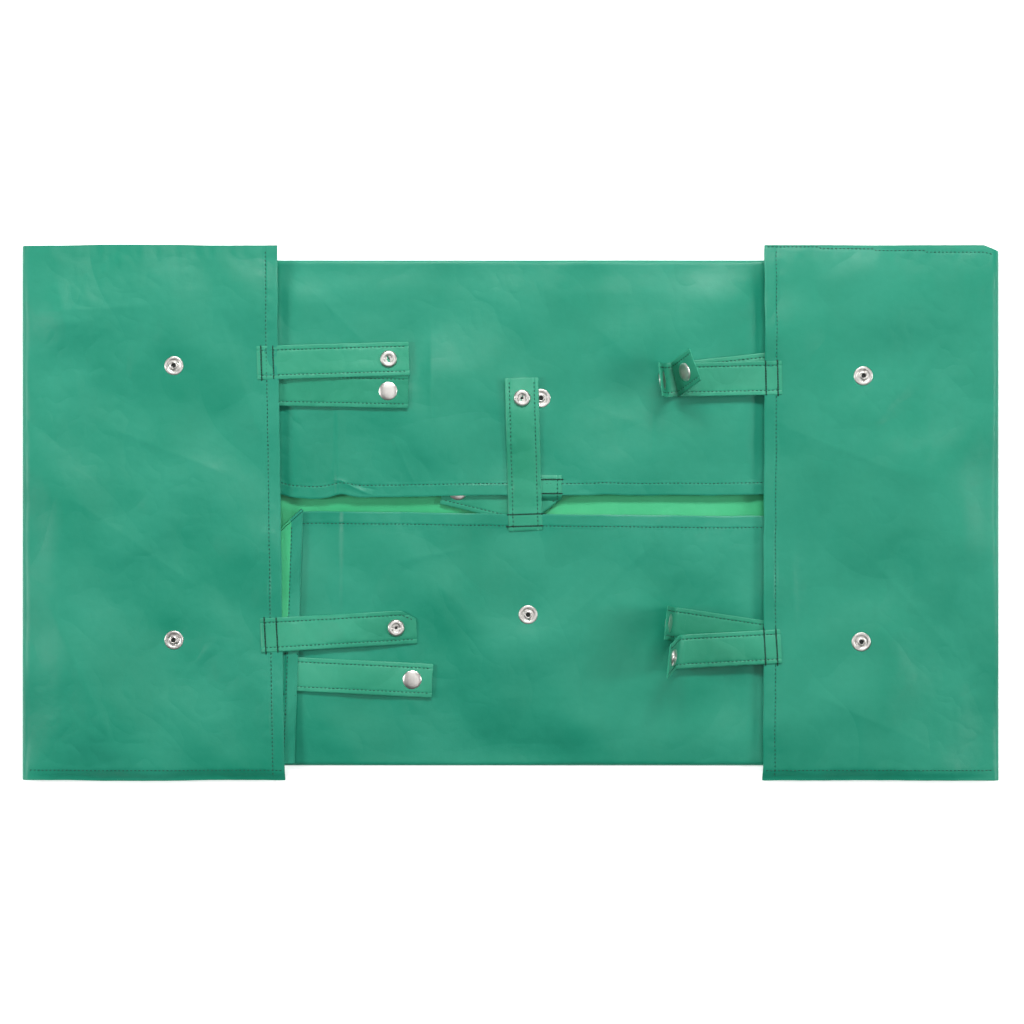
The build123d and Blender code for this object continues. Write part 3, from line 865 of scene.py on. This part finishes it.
# creases that folding has left in each panel: from, to, height and width
CREASES = {
    "front": [
        ((-141, -6), (-140, -84), 0.35, 4.0), ((-92, -40), (-40, -30), 0.5, 4),
        ((-60, -60), (-20, -95), 0.6, 9), ((40, -95), (120, -25), 0.8, 12),
        ((70, -120), (10, -190), 0.7, 14), ((180, -30), (140, -90), 0.6, 9),
        ((-150, -120), (-60, -170), 0.7, 12),
    ],
    "rear": [
        ((-144, 82), (-144, 18), 0.5, 3.0), ((-66, 170), (-66, 70), 1.1, 6),
        ((-96, 60), (-80, 25), 0.5, 5), ((-146, 27), (-118, 17), 1.1, 2.2),
        ((-134, 24), (-112, 20), -0.7, 2.4), ((30, 190), (110, 120), 0.7, 13),
        ((60, 90), (170, 50), 0.6, 12), ((150, 200), (190, 140), 0.6, 9),
        ((118, 95), (116, 20), 0.5, 3), ((-170, 190), (-110, 130), 0.7, 10),
    ],
    "left": [
        ((-372, 180), (-350, 60), 1.1, 10), ((-345, 150), (-338, 90), -0.9, 12),
        ((-330, 70), (-230, 30), 0.9, 12), ((-240, 160), (-205, 60), 0.8, 10),
        ((-360, 10), (-260, -60), 0.8, 12), ((-300, -170), (-230, -90), 0.8, 11),
        ((-380, -80), (-330, -190), 0.8, 9), ((-398, 165), (-300, 172), 0.6, 8),
    ],
    "right": [
        ((380, 170), (290, 60), 0.9, 12), ((230, 70), (330, 30), 0.8, 12),
        ((300, -40), (380, -130), 0.9, 11), ((232, -30), (236, -110), 0.7, 7),
        ((250, -150), (340, -190), 0.8, 12),
    ],
}


def broad_shape(side, x, y, seed):
    """The slow unevenness of each panel, and its creases."""
    h = 0.5 + 1.3 * ridges(x, y, 105, 90, seed) + 0.30 * ridges(x, y, 46, 40, seed + 1, soft=0.25)
    h = h + 0.05 * noise(x, y, 19, 16, seed + 2)
    for a, b, height, width in CREASES[side]:
        h = h + crease(x, y, a, b, height, width)
    if side == "front":
        h = h + 1.0 * smooth(x, -142, -138) * (1 - smooth(x, -138, -112)) * smooth(y, -110, -60)
    if side == "rear":
        h = h + 1.0 * smooth(x, -147, -142) * (1 - smooth(x, -142, -104)) * (1 - smooth(y, 74, 96))
    if side == "right":
        h = h * (1 - 0.75 * bell(x - 392, 16))
    return h


def make_floor():
    xs, ys = spaced(-END_AXIS_X, END_AXIS_X, 4.0), spaced(-LONG_AXIS_Y, LONG_AXIS_Y, 4.0)
    x, y = np.meshgrid(xs, ys, indexing="ij")
    edge = smooth(np.minimum(END_AXIS_X - np.abs(x), LONG_AXIS_Y - np.abs(y)), 2, 30)
    edge = edge * (0.12 + 0.88 * smooth(np.hypot(x / 120, y / 85), 0.8, 1.3))
    z = CLOTH / 2 + edge * (0.35 + 0.35 * noise(x, y, 70, 60, 5) + 0.12 * noise(x, y, 25, 22, 6))
    mid = np.stack([x, y, z], -1)
    piece = Cloth("floor_cloth")
    piece.sheet(mid, np.stack([x, y], -1), 0.28, 0.28, outer_slot=1, inner_slot=0)
    obj = piece.build(CLOTH_MATS)
    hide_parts("bottom_panel", "floor_folds")
    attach(obj, "floor")


# ---- the tucked rear strap

TUCK_PIVOT, TUCK_WAY, TUCK_MIDDLE, TUCK_RUN = (14.5, 4.5), 166.5, 3.6, 60.0
ROOT_X = 28.5


def make_tucked():
    """Down over the rear hem into the gap, turned on the diagonal, and its end under the rear hem."""
    hem = hem_y("rear", ROOT_X)
    way = math.radians(TUCK_WAY)
    d2 = np.array([math.cos(way), math.sin(way)])
    d1 = np.array([0.0, -1.0])
    # the strap's centreline: straight down to the turn, then along the tucked direction
    s = (ROOT_X - TUCK_PIVOT[0]) / -d2[0]
    corner = np.array(TUCK_PIVOT) - d2 * s
    start = hem + TAB
    length1 = start - corner[1]
    total = length1 + math.dist(corner, np.array(TUCK_PIVOT) + d2 * (TUCK_RUN + STRAP_END - 5))
    xs, ys = spaced(0, total, 0.9), across_samples()
    l, w = np.meshgrid(xs, ys, indexing="ij")
    # before the crease the strap runs along d1; after it, it is mirrored in the crease line
    px, py = ROOT_X + w, start - l
    line = d1 + d2
    line = line / np.linalg.norm(line)
    # signed distance past the crease line
    n = np.array([line[1], -line[0]])
    if n @ d1 < 0:
        n = -n
    past = (px - corner[0]) * n[0] + (py - corner[1]) * n[1]
    mx, my = px - 2 * np.maximum(past, 0) * n[0], py - 2 * np.maximum(past, 0) * n[1]
    drop = smooth(hem + 1.2 - (start - l), 0, 7.5)
    z_before = LONG_FACE + STRAP / 2 + 0.3 + (2.3 - LONG_FACE - STRAP / 2 - 0.3) * drop
    z = z_before + (TUCK_MIDDLE - z_before) * smooth(past, -0.8, 0.8)
    mid = np.stack([mx, my, z], -1)
    mid[..., 2] += 0.15 * noise(l, w, 24, 16, 901) * smooth(l, 24, 40)
    stand = strap_surface(l, w, 900)
    ends = 0.3 * (1 - smooth(l, 0, 1.2)) + 0.3 * (1 - smooth(total - l, 0, 1.2))
    piece = Cloth("rear_centre_strap_cloth")
    up = np.cross(np.gradient(mid, axis=0), np.gradient(mid, axis=1))[10, 20, 2] > 0
    outer, inner = 0.42 + stand - ends, 0.42 + 0.6 * stand - ends
    top, low, normal = piece.sheet(mid, np.stack([l, w + 70], -1), outer, inner, outer_up=up)
    stop = nearest(xs, total - 2.4)
    for y in (-STRAP_STITCH, STRAP_STITCH):
        piece.both_sides(slice(3, stop + 1), nearest(ys, y), top, low, normal)
    for x in (3.4, 15.2):
        bar_tack(piece, top, normal, nearest(xs, x), 0.7, np.array([0, 1, 0]))
    obj = piece.build(STRAP_MATS)
    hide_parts("rear_centre_strap")
    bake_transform(obj)


make_floor()
for which in ("rear", "front"):
    make_long_wall(which)
for which in CORNERS:
    make_gusset(which)
for which in ("left", "right"):
    make_end_wall(which)
for k, strap in enumerate(END_STRAPS):
    make_strap(strap, 100 + 20 * k)
for k, strap in enumerate(GUSSET_STRAPS):
    make_strap(strap, 300 + 20 * k)
make_strap(FRONT_CENTRE, 500)
make_tucked()


# ---- snap fasteners

# profiles, as (radius, height) above the cloth
CAP = [(0, 1.2), (3.0, 1.15), (5.4, 0.95), (6.9, 0.62), (7.7, 0.22), (7.95, -0.05), (7.6, -0.2), (0, -0.2)]
SOCKET = [
    (0, 0.3), (1.5, 0.3), (1.7, 0.42), (2.7, 0.45), (3.3, 0.55), (3.4, 1.9), (3.7, 2.25), (4.3, 2.38),
    (5.5, 2.4), (6.2, 2.2), (6.8, 1.6), (7.15, 0.7), (7.1, 0.1), (6.9, -0.2), (0, -0.2),
]
STUD = [
    (1.8, -0.2), (1.85, 2.3), (2.1, 2.62), (2.5, 2.7), (2.95, 2.4), (3.1, 1.7), (2.8, 1.0), (3.0, 0.55),
    (3.5, 0.42), (4.7, 0.40), (5.3, 0.62), (5.8, 0.84), (6.9, 0.88), (7.5, 0.74), (7.98, 0.3),
    (7.9, -0.1), (1.8, -0.2),
]


def turned_piece(name, profile, matrix, cad_nodes, body, flip=False, dents=(), hole=None):
    """A piece of revolution about z; flip points it down.

    dents are (radius, angle, size, depth), and hole is the (radius, height) of the near-black disc in its
    bore, painted shade for the inside of the hole.
    """
    sides, fine = 56, []
    for (r0, z0), (r1, z1) in zip(profile, profile[1:]):
        fine += [(r0 + (r1 - r0) * t, z0 + (z1 - z0) * t) for t in (0, 0.34, 0.67)]
    fine.append(profile[-1])
    turn = np.arange(sides) * 2 * math.pi / sides
    circle = lambda r, z: np.stack([r * np.cos(turn), r * np.sin(turn), np.full(sides, z)], -1)
    verts = []
    for r, z in fine:
        ring = circle(r, z)
        for dr, da, size, depth in dents:
            far = np.hypot(ring[:, 0] - dr * math.cos(da), ring[:, 1] - dr * math.sin(da))
            ring[:, 2] -= depth * bell(far, size) * (z > 0.1)
        verts.append(ring)
    faces = tube_faces(len(fine), sides)
    slots = [0] * len(faces)
    # the near-black disc across the bore is painted shade for the inside of the hole
    if hole:
        verts.append(circle(*hole))
        faces.append(tuple(len(fine) * sides + j for j in range(sides)))
        slots.append(1)
    verts = np.concatenate(verts)
    if flip:
        verts[:, 1:] *= -1
    verts = verts @ np.array(matrix.to_3x3()).T + np.array(matrix.translation)
    obj = new_object(name, verts, faces, slots, [NICKEL, HOLE_SHADE], sharp=60)
    if cad_nodes:
        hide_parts(*cad_nodes)
    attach(obj, body)


# radius and height of the near-black discs that paint the shade inside sockets' and studs' holes
SOCKET_HOLE, STUD_HOLE = (1.2, 0.34), (1.75, 1.2)
FACE = Matrix.Translation((0, 0, STRAP / 2))
BACK = Matrix.Translation((0, 0, -STRAP / 2))
for k, strap in enumerate(END_STRAPS + GUSSET_STRAPS + [FRONT_CENTRE]):
    body = strap.name + ("_end" if strap.curl else "")
    at = strap.snap_matrix()
    spin = Matrix.Rotation(k * 1.3 + 0.4, 4, "Z")
    dents = [(2.3, 1.5, 0.7, 0.25), (2.4, 4.5, 0.8, 0.25), (5.0, 3.0, 0.7, 0.15)]
    ring = (strap.name + "_socket_ring", SOCKET, at @ FACE @ spin, [strap.name + "_socket"], body)
    turned_piece(*ring, dents=dents, hole=SOCKET_HOLE)
    turned_piece(strap.name + "_cap_dome", CAP, at @ BACK @ spin, [strap.name + "_cap"], body, flip=True)
    # the stud this strap closes on
    place = Matrix.Translation((*strap.stud_at, strap.face)) @ Matrix.Rotation(k * 2.1, 4, "Z")
    if strap in END_STRAPS:
        # one CAD node holds both studs of an end wall, and the first of them stands for it
        owner, cad_nodes = strap.wall + "_end", [strap.wall + "_end_studs"] if "_rear_" in strap.name else []
    elif strap in GUSSET_STRAPS:
        owner, cad_nodes = strap.wall + "_gusset", [f"gusset_{strap.wall}_stud"]
    else:
        owner, cad_nodes = "front", ["front_stud"]
    dents = [(4.3, 0.6, 0.8, 0.4), (4.2, 3.2, 0.9, 0.35), (4.4, 4.6, 0.7, 0.3)]
    stud = (strap.name + "_stud_on_wall", STUD, place, cad_nodes, owner)
    turned_piece(*stud, flip=not strap.up, dents=dents, hole=STUD_HOLE)
at = Matrix.Translation((*REAR_STUD, LONG_FACE))
turned_piece("rear_stud_on_wall", STUD, at, ["rear_stud"], "rear", hole=STUD_HOLE)
way, tucked = math.radians(TUCK_WAY), "rear_centre_strap"
snap_x, snap_y = TUCK_PIVOT[0] + TUCK_RUN * math.cos(way), TUCK_PIVOT[1] + TUCK_RUN * math.sin(way)
at = Matrix.Translation((snap_x, snap_y, TUCK_MIDDLE))
turned_piece(tucked + "_cap_dome", CAP, at @ FACE, [tucked + "_cap"], tucked)
turned_piece(
    tucked + "_socket_ring", SOCKET, at @ BACK, [tucked + "_socket"], tucked, flip=True, hole=SOCKET_HOLE
)

# ---- floor, light and camera

scene = bpy.context.scene
scene.view_settings.view_transform = "Standard"
scene.view_settings.look = "None"

ground_mesh = bpy.data.meshes.new("ground")
GROUND = 6.0
corners = [(-GROUND, -GROUND, 0), (GROUND, -GROUND, 0), (GROUND, GROUND, 0), (-GROUND, GROUND, 0)]
ground_mesh.from_pydata(corners, [], [(0, 1, 2, 3)])
ground = added("ground", ground_mesh)
ground.location.z = -0.0006
white, _, _, paper = material("white_paper")
put(paper, Base_Color=(0.92, 0.92, 0.92, 1), Roughness=0.9, Specular_IOR_Level=0.1)
put(paper, Emission_Color=(1, 1, 1, 1), Emission_Strength=0.62)
ground_mesh.materials.append(white)

world = bpy.data.worlds.new("studio")
world.use_nodes = True
put(world.node_tree.nodes["Background"], Color=(1, 1, 1, 1), Strength=0.08)
scene.world = world


def area_light(name, place, aim, power, width, height):
    data = bpy.data.lights.new(name, "AREA")
    data.shape = "RECTANGLE"
    data.size, data.size_y = width, height
    data.energy = power
    light = added(name, data)
    light.location = place
    light.rotation_euler = (Vector(aim) - Vector(place)).to_track_quat("-Z", "Y").to_euler()


area_light("key", (0.15, 1.5, 1.45), (0, 0.02, 0), 38, 1.3, 0.4)
area_light("left", (-1.6, 0.05, 1.05), (0, 0.05, 0), 14, 0.4, 0.6)
area_light("right", (1.6, 0.05, 1.05), (0, 0.05, 0), 11, 0.4, 0.6)
area_light("overhead", (0.1, 0.1, 2.7), (0, 0.04, 0), 15, 3.0, 0.9)

VIEW_WIDTH = 0.8473
DISTANCE = 2.0
camera_data = bpy.data.cameras.new("camera")
camera_data.sensor_width = 36.0
camera_data.lens = 36.0 * DISTANCE / VIEW_WIDTH
camera = added("camera", camera_data)
camera.location = (0.0012, 0.0008, DISTANCE + 0.012)
scene.camera = camera
